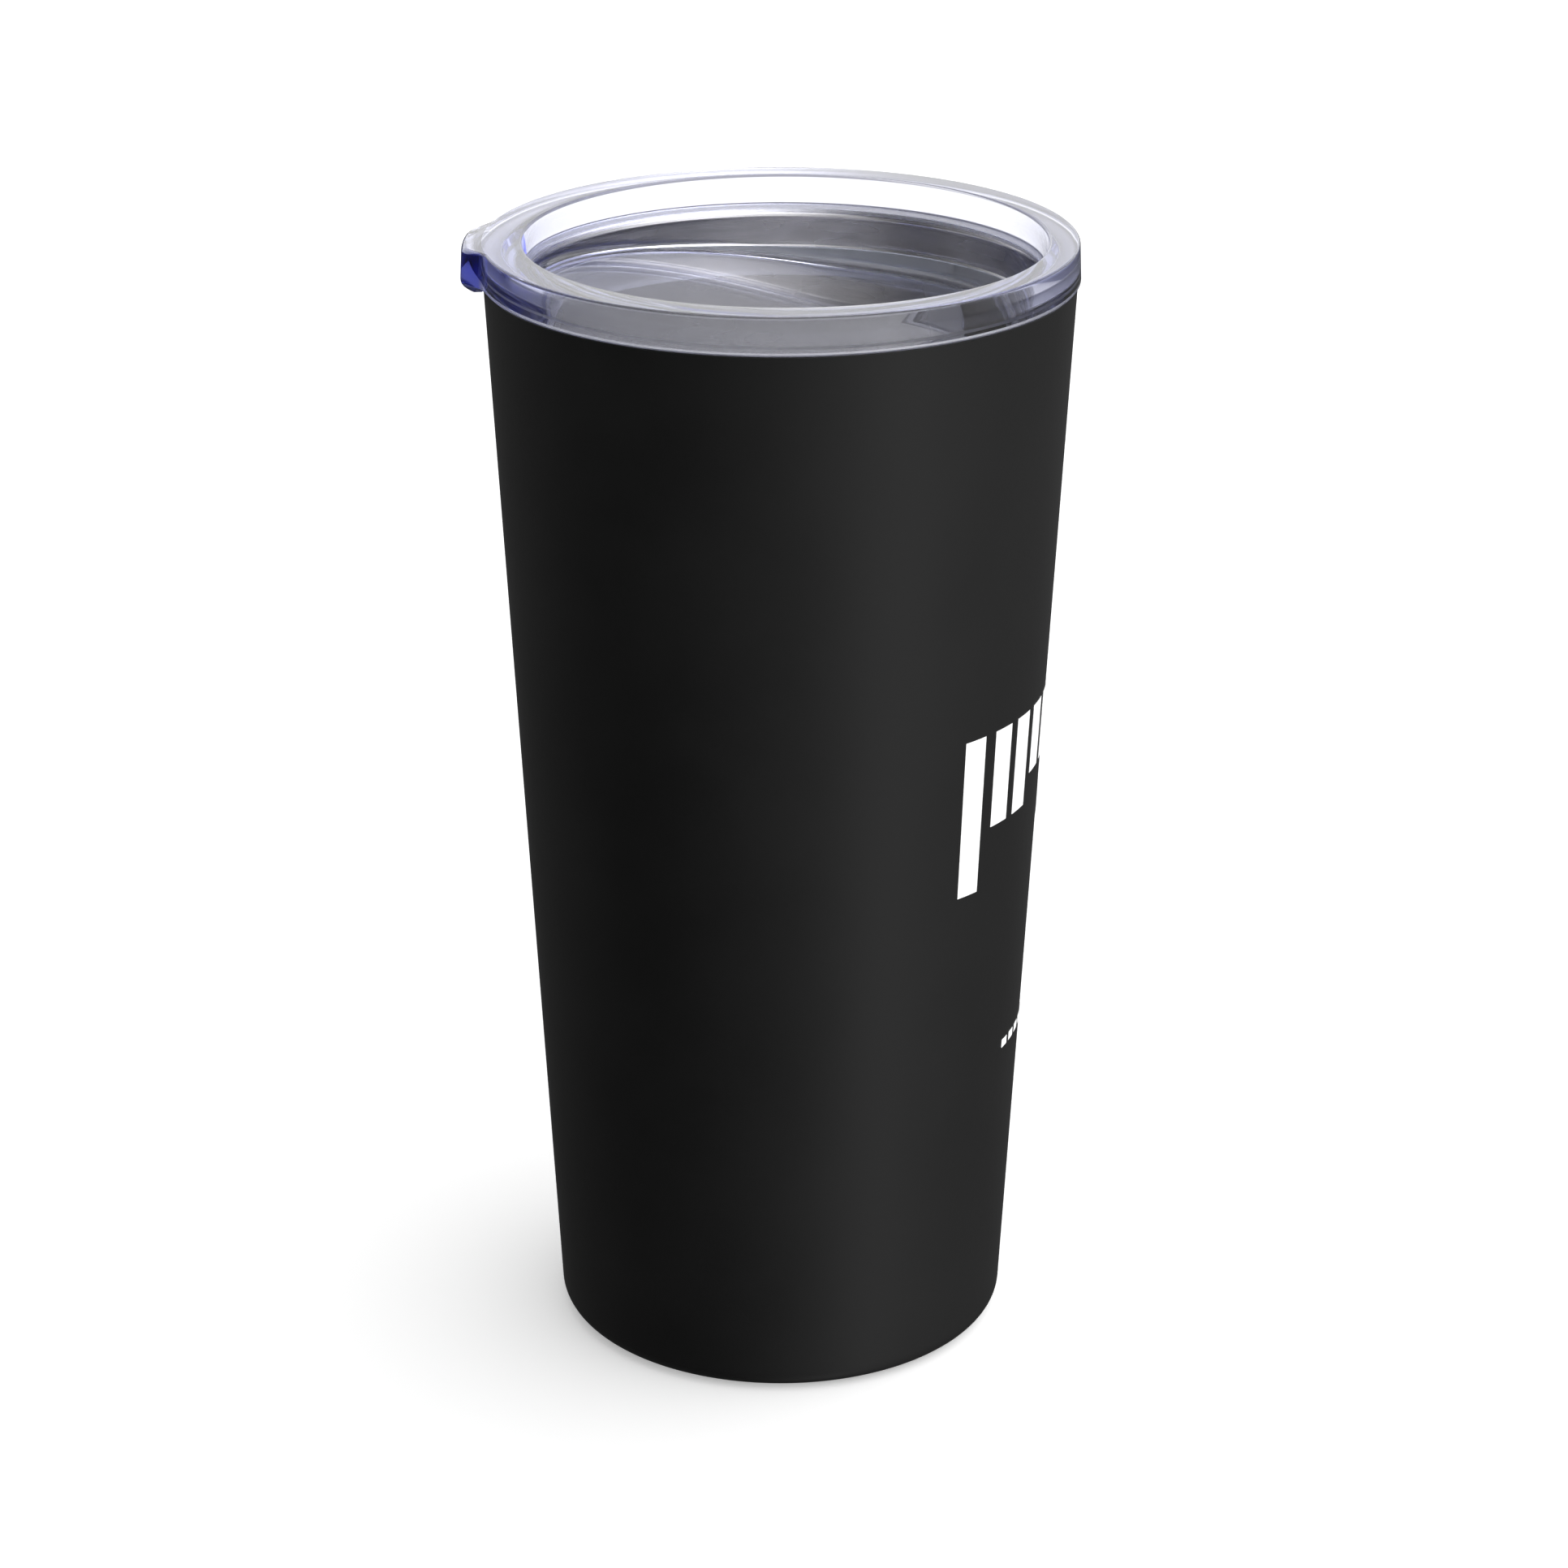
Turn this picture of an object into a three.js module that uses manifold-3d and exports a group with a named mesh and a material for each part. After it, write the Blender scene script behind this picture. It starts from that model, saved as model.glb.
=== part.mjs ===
// Insulated tumbler with a clear press-in lid.
// Millimetres, +Z up. The origin is the centre of the base, on the surface that the tumbler stands on.
// The cup is two steel skins with a vacuum between them, closed below by a pan and a cover disc.
// The lid's thumb tab points to -X, and its drink opening is opposite, towards +X.

import * as THREE from 'three';
import { mergeVertices } from 'three/addons/utils/BufferGeometryUtils.js';
import Module from 'manifold-3d';

// ---------------------------------------------------------------- driving dimensions

const GAP = 0.3;                     // clearance between pieces that touch on the real object
const SHEET = 0.5;                   // steel sheet thickness
const SEGMENTS = 60;                 // facets round the steel pieces

const SHELL = { topR: 43.98, topZ: 168.3, footR: 35.33, footZ: 3.2, corner: 3.2, hemR: 31.8 };
const LINER = { mouthR: 41.4, mouthZ: 166.65, lipR: 1.65, floorR: 29.8, floorZ: 9.4, corner: 9 };
const PAN = {
  wallR: 34.4, wallTopZ: 8, floorZ: 1.1, corner: 2.3,
  dimpleR: 6, rampR: 8, dimpleRise: 1.8, ventR: 1, segments: 40,
};
const COVER = { radius: 31.2, thickness: 0.8, edge: 0.25 };
const BEAD = { radius: 3.2, lowZ: 1.3, highZ: 2.55, steps: 8, segments: 24 };
const FOIL = { lowZ: 30, highZ: 150, thickness: 0.2, slit: 2, slitDepth: 20 };
const GETTER = { x: 18, radius: 4.5, height: 1.6, segments: 32 };
const STRAP = { length: 22, width: 5, thickness: 0.3 };

const LID = {
  outerTopR: 44.2, outerLowR: 44.42, topZ: 174.3, seatZ: 168.6, topEdge: 0.4, seatEdge: 0.3,
  wellX: 0.75, wellTopR: 38.85, wellLip: 0.5, wellLowR: 37.6, wellLowZ: 161, fillet: 1.5,
  floorZ: 160, floorSlope: 0.139, flatFromX: 12, bendLength: 5, floorThickness: 2,
  bottomZ: 157, plugClearance: 0.55, plugInnerR: 37.4, plugEdge: 0.5, underFillet: 0.8,
  grooveLowZ: 159.5, grooveHighZ: 162.9, grooveR: 39.1,
};
const TAB = {
  reach: 2.85, fullY: 4.2, endY: 10.8,
  hangZ: 167.9, hangInnerR: 44.45, hangHalfY: 8.6, hangOverlap: 2, hangInset: 0.05, hangBevel: 0.2,
  hangSteps: 14,
};
const DRINK = { middleR: 31.5, halfWidth: 3.75, halfAngle: 11, cut: 4 };
const VENT = { radius: 1.2, distance: 34.5, angle: 195, cut: 6, segments: 16 };
const GASKET = {
  innerR: 39.4, coreR: 40.15, lowZ: 159.8, highZ: 162.6, finGap: 0.32,
  finStarts: [0.3, 1.8], finTip: 0.3, finRoot: 0.8,
};

const DEG = Math.PI / 180;

// ---------------------------------------------------------------- manifold helpers

const wasm = await Module();
wasm.setup();

function weld(geometry) {
  const bare = geometry.clone();
  bare.deleteAttribute('normal');
  bare.deleteAttribute('uv');
  return mergeVertices(bare, 1e-4);
}

function toSolid(geometry) {
  const welded = weld(geometry);
  return new wasm.Manifold(new wasm.Mesh({
    numProp: 3,
    vertProperties: new Float32Array(welded.attributes.position.array),
    triVerts: new Uint32Array(welded.index.array),
  }));
}

function toGeometry(solid) {
  const mesh = solid.getMesh();
  const geometry = new THREE.BufferGeometry();
  geometry.setAttribute('position', new THREE.BufferAttribute(mesh.vertProperties, 3));
  geometry.setIndex(new THREE.BufferAttribute(mesh.triVerts, 1));
  geometry.computeVertexNormals();
  return geometry;
}

// ---------------------------------------------------------------- profile helpers

// Points of an arc in the (radius, height) plane; angles in degrees, 0 pointing outwards.
function arc(centreR, centreZ, radius, fromAngle, toAngle, steps) {
  const points = [];
  for (let i = 0; i <= steps; i++) {
    const angle = (fromAngle + (toAngle - fromAngle) * i / steps) * DEG;
    points.push([centreR + radius * Math.cos(angle), centreZ + radius * Math.sin(angle)]);
  }
  return points;
}

// Spins a profile round +Z. It runs anticlockwise in the (radius, height) plane, and either starts
// and ends on the axis or is closed back to its first point.
function spin(profile, segments = SEGMENTS) {
  const points = profile.map(([r, z]) => new THREE.Vector2(r, z));
  const onAxis = profile[0][0] === 0 && profile[profile.length - 1][0] === 0;
  if (!onAxis) {
    points.push(points[0].clone());
  }
  return weld(new THREE.LatheGeometry(points, segments).rotateX(Math.PI / 2));
}

function smoothstep(from, to, value) {
  const t = Math.min(1, Math.max(0, (value - from) / (to - from)));
  return t * t * (3 - 2 * t);
}

// ---------------------------------------------------------------- the cup

const shellTaper = (SHELL.topR - SHELL.footR) / (SHELL.topZ - SHELL.footZ);
const linerTaper = (LINER.mouthR - LINER.floorR) / (LINER.mouthZ - LINER.floorZ);
const linerR = (z) => LINER.mouthR - (LINER.mouthZ - z) * linerTaper;

// Black coated outer skin: a cone with its foot curled in under the pan.
function outerShell() {
  const cornerR = SHELL.footR - SHELL.corner;
  return spin([
    [SHELL.hemR, 0],
    ...arc(cornerR, SHELL.corner, SHELL.corner, -90, 0, 5),
    [SHELL.topR, SHELL.topZ],
    [SHELL.topR - SHEET, SHELL.topZ],
    ...arc(cornerR, SHELL.corner, SHELL.corner - SHEET, 0, -90, 5),
    [SHELL.hemR, SHEET],
  ]);
}

// Bare steel cup whose mouth rolls outwards into the rim.
function innerLiner() {
  const lean = Math.atan(linerTaper) / DEG;
  const cornerZ = LINER.floorZ + LINER.corner;
  const cornerR = linerR(cornerZ) - LINER.corner / Math.cos(lean * DEG);
  const lipCentreR = LINER.mouthR + LINER.lipR;
  return spin([
    [0, LINER.floorZ - SHEET],
    ...arc(cornerR, cornerZ, LINER.corner + SHEET, -90, -lean, 6),
    ...arc(lipCentreR, LINER.mouthZ, LINER.lipR - SHEET, 180, 90, 3),
    ...arc(lipCentreR, LINER.mouthZ, LINER.lipR, 90, 180, 4),
    ...arc(cornerR, cornerZ, LINER.corner, -lean, -90, 6),
    [0, LINER.floorZ],
  ]);
}

// Steel pan welded into the shell's foot, with a central dimple round the evacuation hole.
function outerBase() {
  const cornerR = PAN.wallR - PAN.corner;
  const cornerZ = PAN.floorZ + PAN.corner;
  const dimpleZ = PAN.floorZ + PAN.dimpleRise;
  return spin([
    [PAN.ventR, dimpleZ],
    [PAN.dimpleR, dimpleZ],
    [PAN.rampR, PAN.floorZ],
    ...arc(cornerR, cornerZ, PAN.corner, -90, 0, 4),
    [PAN.wallR, PAN.wallTopZ],
    [PAN.wallR - SHEET, PAN.wallTopZ],
    ...arc(cornerR, cornerZ, PAN.corner - SHEET, 0, -90, 4),
    [PAN.rampR, PAN.floorZ + SHEET],
    [PAN.dimpleR, dimpleZ + SHEET],
    [PAN.ventR, dimpleZ + SHEET],
  ], PAN.segments);
}

// Flat disc that closes the base and carries the tumbler.
function baseCover() {
  const { radius, thickness, edge } = COVER;
  return spin([
    [0, 0],
    [radius - edge, 0],
    [radius, edge],
    [radius, thickness],
    [0, thickness],
  ]);
}

// Glass bead that seals the evacuation hole from below.
function sealBead() {
  const middleZ = (BEAD.lowZ + BEAD.highZ) / 2;
  const halfHeight = (BEAD.highZ - BEAD.lowZ) / 2;
  const dome = [[0, BEAD.lowZ]];
  for (let i = 1; i < BEAD.steps; i++) {
    const angle = (-90 + 180 * i / BEAD.steps) * DEG;
    dome.push([BEAD.radius * Math.cos(angle), middleZ + halfHeight * Math.sin(angle)]);
  }
  dome.push([0, BEAD.highZ]);
  return spin(dome, BEAD.segments);
}

// Copper foil wrapped round the liner inside the vacuum; its two ends leave a narrow slit.
function copperFoil() {
  const inner = (z) => linerR(z) + SHEET + GAP;
  const tube = spin([
    [inner(FOIL.lowZ), FOIL.lowZ],
    [inner(FOIL.lowZ) + FOIL.thickness, FOIL.lowZ],
    [inner(FOIL.highZ) + FOIL.thickness, FOIL.highZ],
    [inner(FOIL.highZ), FOIL.highZ],
  ]);
  const middleZ = (FOIL.lowZ + FOIL.highZ) / 2;
  const slit = new THREE.BoxGeometry(FOIL.slit, FOIL.slitDepth, FOIL.highZ)
    .translate(0, inner(FOIL.highZ), middleZ);
  return toGeometry(toSolid(tube).subtract(toSolid(slit)));
}

const getterZ = PAN.floorZ + SHEET + GAP;

// Gas-absorbing pill that keeps the vacuum.
function getterPill() {
  return new THREE.CylinderGeometry(GETTER.radius, GETTER.radius, GETTER.height, GETTER.segments)
    .rotateX(Math.PI / 2)
    .translate(GETTER.x, 0, getterZ + GETTER.height / 2);
}

// Spot-welded strap that holds the pill down: two feet, two risers and a bridge.
function getterStrap() {
  const half = STRAP.length / 2;
  const riserX = GETTER.radius + GAP;
  const bridgeZ = GETTER.height + GAP;
  const t = STRAP.thickness;
  const outline = new THREE.Shape([
    new THREE.Vector2(-half, 0),
    new THREE.Vector2(-riserX, 0),
    new THREE.Vector2(-riserX, bridgeZ),
    new THREE.Vector2(riserX, bridgeZ),
    new THREE.Vector2(riserX, 0),
    new THREE.Vector2(half, 0),
    new THREE.Vector2(half, t),
    new THREE.Vector2(riserX + t, t),
    new THREE.Vector2(riserX + t, bridgeZ + t),
    new THREE.Vector2(-riserX - t, bridgeZ + t),
    new THREE.Vector2(-riserX - t, t),
    new THREE.Vector2(-half, t),
  ]);
  return new THREE.ExtrudeGeometry(outline, { depth: STRAP.width, bevelEnabled: false })
    .translate(0, 0, -STRAP.width / 2)
    .rotateX(Math.PI / 2)
    .rotateZ(Math.PI / 2)
    .translate(GETTER.x, 0, getterZ);
}

// ---------------------------------------------------------------- the lid

// Top of the lid's floor: level on the drinking side, rising steadily towards the tab.
function lidFloor(x) {
  const rise = LID.bendLength * Math.log(1 + Math.exp((LID.flatFromX - x) / LID.bendLength));
  return LID.floorZ + LID.floorSlope * rise;
}

const plugR = (z) => linerR(z) - LID.plugClearance;

// Distance from the lid's axis to a circle round the well's own axis, which lies off the middle so
// that the flange is widest at the thumb tab.
function wellDistance(angle, radius) {
  const across = LID.wellX * Math.sin(angle);
  return LID.wellX * Math.cos(angle) + Math.sqrt(radius * radius - across * across);
}

function wellR(angle, z) {
  const wallTopZ = LID.topZ - LID.wellLip;
  const draft = (LID.wellTopR - LID.wellLowR) / (wallTopZ - LID.wellLowZ);
  return wellDistance(angle, LID.wellLowR + (z - LID.wellLowZ) * draft);
}

// How far the flange has swollen into the thumb tab at -X, from 0 to 1.
function tabSwell(angle) {
  if (Math.cos(angle) > 0) {
    return 0;
  }
  return 1 - smoothstep(TAB.fullY, TAB.endY, Math.abs(LID.outerLowR * Math.sin(angle)));
}

// Azimuths of the lid's facets, four times as fine where the tab swells out.
function lidAngles() {
  const angles = [];
  for (let i = 0; i < SEGMENTS; i++) {
    const degrees = i * 360 / SEGMENTS;
    const parts = degrees >= 160 && degrees < 200 ? 4 : 1;
    for (let j = 0; j < parts; j++) {
      angles.push((degrees + j * 360 / SEGMENTS / parts) * DEG);
    }
  }
  return angles;
}

// The lid's section at one azimuth, from the middle of the well's floor over the flange and down the
// plug to the middle of the floor's underside. Both ends are left out: they are the two poles.
function lidSection(angle) {
  const floorAt = (r) => lidFloor(r * Math.cos(angle));
  const swell = TAB.reach * tabSwell(angle);
  const crestR = LID.outerTopR + swell;
  const rimR = LID.outerLowR + swell;
  const wallFootR = wellR(angle, floorAt(LID.wellLowR) + LID.fillet);
  const filletR = wallFootR - LID.fillet;
  const lipR = wellDistance(angle, LID.wellTopR + LID.wellLip);
  const floorRadii = [12, 24, 32];
  const wellFillet = arc(0, LID.fillet, LID.fillet, -90, 0, 4)
    .map(([r, z]) => [filletR + r, floorAt(filletR + r) + z]);
  const underR = LID.plugInnerR - LID.underFillet;
  const underFloor = (r) => floorAt(r) - LID.floorThickness;
  const underFillet = arc(0, -LID.underFillet, LID.underFillet, 0, 90, 3)
    .map(([r, z]) => [underR + r, underFloor(underR + r) + z]);
  return [
    ...floorRadii.map((r) => [r, floorAt(r)]),
    ...wellFillet,
    ...arc(lipR, LID.topZ - LID.wellLip, LID.wellLip, 180, 90, 3),
    ...arc(crestR - LID.topEdge, LID.topZ - LID.topEdge, LID.topEdge, 90, 0, 3),
    ...arc(rimR - LID.seatEdge, LID.seatZ + LID.seatEdge, LID.seatEdge, 0, -90, 2),
    [plugR(LID.seatZ), LID.seatZ],
    [plugR(LID.grooveHighZ), LID.grooveHighZ],
    [LID.grooveR, LID.grooveHighZ],
    [LID.grooveR, LID.grooveLowZ],
    [plugR(LID.grooveLowZ), LID.grooveLowZ],
    [plugR(LID.bottomZ), LID.bottomZ + LID.plugEdge],
    [plugR(LID.bottomZ) - LID.plugEdge, LID.bottomZ],
    [LID.plugInnerR, LID.bottomZ],
    ...underFillet,
    ...floorRadii.reverse().map((r) => [r, underFloor(r)]),
  ];
}

// Closed body through one section per azimuth, with a pole on the axis at each end.
function sectionBody(angles, sectionAt, firstPoleZ, lastPoleZ) {
  const sections = angles.map(sectionAt);
  const rows = sections[0].length;
  const columns = angles.length;
  const positions = [];
  sections.forEach((section, column) => {
    section.forEach(([r, z]) => {
      positions.push(r * Math.cos(angles[column]), r * Math.sin(angles[column]), z);
    });
  });
  const firstPole = positions.length / 3;
  positions.push(0, 0, firstPoleZ, 0, 0, lastPoleZ);
  const index = [];
  for (let column = 0; column < columns; column++) {
    const here = column * rows;
    const next = ((column + 1) % columns) * rows;
    index.push(firstPole, here, next);
    for (let row = 0; row < rows - 1; row++) {
      index.push(here + row, here + row + 1, next + row + 1);
      index.push(here + row, next + row + 1, next + row);
    }
    index.push(here + rows - 1, firstPole + 1, next + rows - 1);
  }
  const geometry = new THREE.BufferGeometry();
  geometry.setAttribute('position', new THREE.Float32BufferAttribute(positions, 3));
  geometry.setIndex(index);
  return geometry;
}

// Part of the thumb tab that hangs below the flange, outside the cup.
function tabHang() {
  const halfAngle = Math.asin(TAB.hangHalfY / LID.outerLowR);
  const outer = [];
  const inner = [];
  for (let i = 0; i <= TAB.hangSteps; i++) {
    const angle = Math.PI - halfAngle + 2 * halfAngle * i / TAB.hangSteps;
    const direction = new THREE.Vector2(Math.cos(angle), Math.sin(angle));
    const outerR = LID.outerLowR + TAB.reach * tabSwell(angle) - TAB.hangInset;
    outer.push(direction.clone().multiplyScalar(outerR));
    inner.push(direction.clone().multiplyScalar(TAB.hangInnerR));
  }
  const height = LID.seatZ + TAB.hangOverlap - TAB.hangZ;
  return new THREE.ExtrudeGeometry(new THREE.Shape([...outer, ...inner.reverse()]), {
    depth: height - 2 * TAB.hangBevel,
    bevelThickness: TAB.hangBevel,
    bevelSize: TAB.hangBevel,
    bevelOffset: -TAB.hangBevel,
    bevelSegments: 1,
  }).translate(0, 0, TAB.hangZ + TAB.hangBevel);
}

// Curved slot with round ends, concentric with the lid.
function drinkSlot() {
  const { middleR, halfWidth, halfAngle } = DRINK;
  const half = halfAngle * DEG;
  const endX = middleR * Math.cos(half);
  const endY = middleR * Math.sin(half);
  const outline = new THREE.Shape();
  outline.absarc(0, 0, middleR + halfWidth, -half, half, false);
  outline.absarc(endX, endY, halfWidth, half, half + Math.PI, false);
  outline.absarc(0, 0, middleR - halfWidth, half, -half, true);
  outline.absarc(endX, -endY, halfWidth, Math.PI - half, 2 * Math.PI - half, false);
  return new THREE.ExtrudeGeometry(outline, { depth: 2 * DRINK.cut, bevelEnabled: false, curveSegments: 8 })
    .translate(0, 0, LID.floorZ - DRINK.cut);
}

function ventHole() {
  const x = VENT.distance * Math.cos(VENT.angle * DEG);
  const y = VENT.distance * Math.sin(VENT.angle * DEG);
  return new THREE.CylinderGeometry(VENT.radius, VENT.radius, VENT.cut, VENT.segments)
    .rotateX(Math.PI / 2)
    .translate(x, y, lidFloor(x) - LID.floorThickness / 2);
}

// One clear moulding: well, sloped floor, solid flange, plug with its seal groove, and thumb tab.
function lidBody() {
  const centreZ = lidFloor(0);
  const turned = sectionBody(lidAngles(), lidSection, centreZ, centreZ - LID.floorThickness);
  return toGeometry(
    toSolid(turned)
      .add(toSolid(tabHang()))
      .subtract(toSolid(drinkSlot()))
      .subtract(toSolid(ventHole())),
  );
}

// Silicone seal with two fins that press on the liner.
function lidGasket() {
  const { innerR, coreR, lowZ, highZ } = GASKET;
  const fins = GASKET.finStarts.flatMap((start) => {
    const z = lowZ + start;
    const finR = linerR(z) - GASKET.finGap;
    return [
      [coreR, z - GASKET.finTip],
      [finR, z],
      [finR, z + GASKET.finTip],
      [coreR, z + GASKET.finRoot],
    ];
  });
  return spin([[innerR, lowZ], ...fins, [coreR, highZ], [innerR, highZ]]);
}

// ---------------------------------------------------------------- assembly

const STEEL = { color: 0xb9bab8, roughness: 0.28, metalness: 1 };
const LOOKS = {
  coat: { color: 0x1c1c1c, roughness: 0.55, metalness: 0.1 },
  copper: { color: 0xb87333, roughness: 0.35, metalness: 1 },
  glass: { color: 0x9fb8a8, roughness: 0.1, metalness: 0 },
  getter: { color: 0x55565a, roughness: 0.8, metalness: 0.4 },
  clear: { color: 0xe9ecf8, roughness: 0.05, metalness: 0, transparent: true, opacity: 0.35 },
  silicone: { color: 0xdfe3e6, roughness: 0.5, metalness: 0 },
};

function piece(name, geometry, look) {
  const mesh = new THREE.Mesh(geometry, new THREE.MeshStandardMaterial(look));
  mesh.name = name;
  return mesh;
}

const cup = new THREE.Group();
cup.add(
  piece('outer_shell', outerShell(), LOOKS.coat),
  piece('inner_liner', innerLiner(), STEEL),
  piece('outer_base', outerBase(), STEEL),
  piece('base_cover', baseCover(), STEEL),
  piece('seal_bead', sealBead(), LOOKS.glass),
  piece('copper_foil', copperFoil(), LOOKS.copper),
  piece('getter_pill', getterPill(), LOOKS.getter),
  piece('getter_strap', getterStrap(), STEEL),
);

const lid = new THREE.Group();
lid.add(
  piece('lid_body', lidBody(), LOOKS.clear),
  piece('lid_gasket', lidGasket(), LOOKS.silicone),
);

const tumbler = new THREE.Group();
tumbler.add(cup, lid);

export default tumbler;
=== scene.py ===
"""Insulated tumbler with a clear press-in lid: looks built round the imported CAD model.

Profiles are in millimetres and become metres when a mesh is made. The origin is the centre of
the base, +Z is up, the lid's thumb tab points to -X and its drink opening lies towards +X.
"""
import math

import bpy
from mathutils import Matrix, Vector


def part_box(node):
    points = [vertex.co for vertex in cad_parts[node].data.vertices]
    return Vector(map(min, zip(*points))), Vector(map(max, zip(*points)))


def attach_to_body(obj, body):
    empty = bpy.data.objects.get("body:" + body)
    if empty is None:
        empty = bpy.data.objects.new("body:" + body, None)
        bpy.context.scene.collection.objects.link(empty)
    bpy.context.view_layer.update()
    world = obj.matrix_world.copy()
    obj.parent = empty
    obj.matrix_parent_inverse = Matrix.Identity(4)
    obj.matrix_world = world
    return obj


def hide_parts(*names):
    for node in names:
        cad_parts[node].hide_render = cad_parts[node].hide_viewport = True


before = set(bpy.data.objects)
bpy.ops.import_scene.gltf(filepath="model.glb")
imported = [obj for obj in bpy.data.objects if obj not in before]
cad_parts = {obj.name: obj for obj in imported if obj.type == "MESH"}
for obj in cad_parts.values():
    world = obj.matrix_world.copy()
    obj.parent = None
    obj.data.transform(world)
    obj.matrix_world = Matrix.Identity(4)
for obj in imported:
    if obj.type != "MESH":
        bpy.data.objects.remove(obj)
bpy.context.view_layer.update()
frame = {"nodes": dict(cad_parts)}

MM = 0.001
DEG = math.pi / 180
SHARP_ANGLE = 35.0  # degrees: edges bent further than this are drawn hard
SEGMENTS = 256  # columns round a lathed piece


# ---------------------------------------------------------------- sizes, in millimetres

def node_top_and_radius(node):
    """Height and radius (half the Y extent, which the tab does not touch) of a round CAD node."""
    low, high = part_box(node)
    return high.z / MM, high.y / MM


SHELL_TOP_Z, SHELL_TOP_R = node_top_and_radius("outer_shell")
LID_TOP_Z, LID_LOW_R = node_top_and_radius("lid_body")
COVER_TOP_Z, COVER_R = node_top_and_radius("base_cover")

SHEET = 0.5
SEAT_Z = 168.6
SEAT_GAP = 0.07
SHELL_FOOT_R = 35.33
SHELL_FOOT_Z = 3.2
SHELL_CORNER = 3.2
SHELL_HEM_R = 31.8
SHELL_TAPER = (SHELL_TOP_R - SHELL_FOOT_R) / (SHELL_TOP_Z - SHELL_FOOT_Z)

LINER_LIP = 1.65
LINER_MOUTH_R = 41.4
LINER_MOUTH_Z = SEAT_Z - SEAT_GAP - LINER_LIP
LINER_FLOOR_R = 29.8
LINER_FLOOR_Z = 9.4
LINER_CORNER = 9.0
LINER_TAPER = (LINER_MOUTH_R - LINER_FLOOR_R) / (LINER_MOUTH_Z - LINER_FLOOR_Z)

LID_TOP_R = 44.2
TOP_EDGE = 0.4
SEAT_EDGE = 0.3
WELL_X = 0.75
WELL_TOP_R = 38.85
WELL_LIP = 0.5
WELL_LOW_R = 37.6
WELL_LOW_Z = 161.0
WELL_FILLET = 1.5
FLOOR_Z = 160.0
FLOOR_SLOPE = 0.139
FLOOR_FLAT_FROM_X = 12.0
FLOOR_BEND = 5.0
FLOOR_THICKNESS = 2.0
PLUG_BOTTOM_Z = 157.0
PLUG_CLEARANCE = 0.55
PLUG_INNER_R = 37.4
PLUG_EDGE = 0.5
UNDER_FILLET = 0.8
GROOVE_LOW_Z = 159.5
GROOVE_HIGH_Z = 162.9
GROOVE_R = 39.1

TAB_REACH = 2.85
TAB_FULL_Y = 4.2
TAB_END_Y = 10.8
TAB_HANG_Z = 167.9
TAB_INNER_R = 44.45
TAB_HANG_FULL_Y = 7.3
TAB_HANG_END_Y = 8.6
TAB_TOP_DROP = 0.35

DRINK_MIDDLE_R = 31.5
DRINK_HALF_WIDTH = 3.75
DRINK_HALF_ANGLE = 11.0
VENT_R = 1.2
VENT_DISTANCE = 34.5
VENT_ANGLE = 195.0
DRINK_EDGE = 0.5
VENT_EDGE = 0.3
CUT_DEPTH = 4.0

GASKET_INNER_R = 39.4
GASKET_CORE_R = 40.15
GASKET_LOW_Z = 159.8
GASKET_HIGH_Z = 162.6
GASKET_FIN_GAP = 0.32


def shell_r(z):
    return SHELL_TOP_R - (SHELL_TOP_Z - z) * SHELL_TAPER


def liner_r(z):
    return LINER_MOUTH_R - (LINER_MOUTH_Z - z) * LINER_TAPER


def plug_r(z):
    return liner_r(z) - PLUG_CLEARANCE


def well_distance(angle, radius):
    """Distance from the lid's axis to a circle round the well's own axis, which lies off the middle."""
    across = WELL_X * math.sin(angle)
    return WELL_X * math.cos(angle) + math.sqrt(radius * radius - across * across)


def well_r(angle, z):
    draft = (WELL_TOP_R - WELL_LOW_R) / (LID_TOP_Z - WELL_LIP - WELL_LOW_Z)
    return well_distance(angle, WELL_LOW_R + (z - WELL_LOW_Z) * draft)


def lid_floor(x):
    """Top of the lid's floor: level on the drinking side, rising steadily towards the tab."""
    return FLOOR_Z + FLOOR_SLOPE * FLOOR_BEND * math.log1p(math.exp((FLOOR_FLAT_FROM_X - x) / FLOOR_BEND))


def smoothstep(start, end, value):
    t = min(1.0, max(0.0, (value - start) / (end - start)))
    return t * t * (3 - 2 * t)


# ---------------------------------------------------------------- mesh helpers

def arc(centre_r, centre_z, radius, start, end, steps):
    """Points of an arc in the (radius, height) plane; angles in degrees, 0 pointing outwards."""
    angles = [(start + (end - start) * i / steps) * DEG for i in range(steps + 1)]
    return [(centre_r + radius * math.cos(a), centre_z + radius * math.sin(a)) for a in angles]


def line(start, end, steps):
    """Points after start, up to and including end, evenly spaced."""
    return [tuple(s + (e - s) * i / steps for s, e in zip(start, end)) for i in range(1, steps + 1)]


def make_object(name, vertices, faces, sharp=SHARP_ANGLE):
    mesh = bpy.data.meshes.new(name)
    mesh.from_pydata([(x * MM, y * MM, z * MM) for x, y, z in vertices], [], faces)
    mesh.validate()
    mesh.polygons.foreach_set("use_smooth", [True] * len(mesh.polygons))
    mesh.set_sharp_from_angle(angle=sharp * DEG)
    obj = bpy.data.objects.new(name, mesh)
    bpy.context.scene.collection.objects.link(obj)
    return obj


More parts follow.
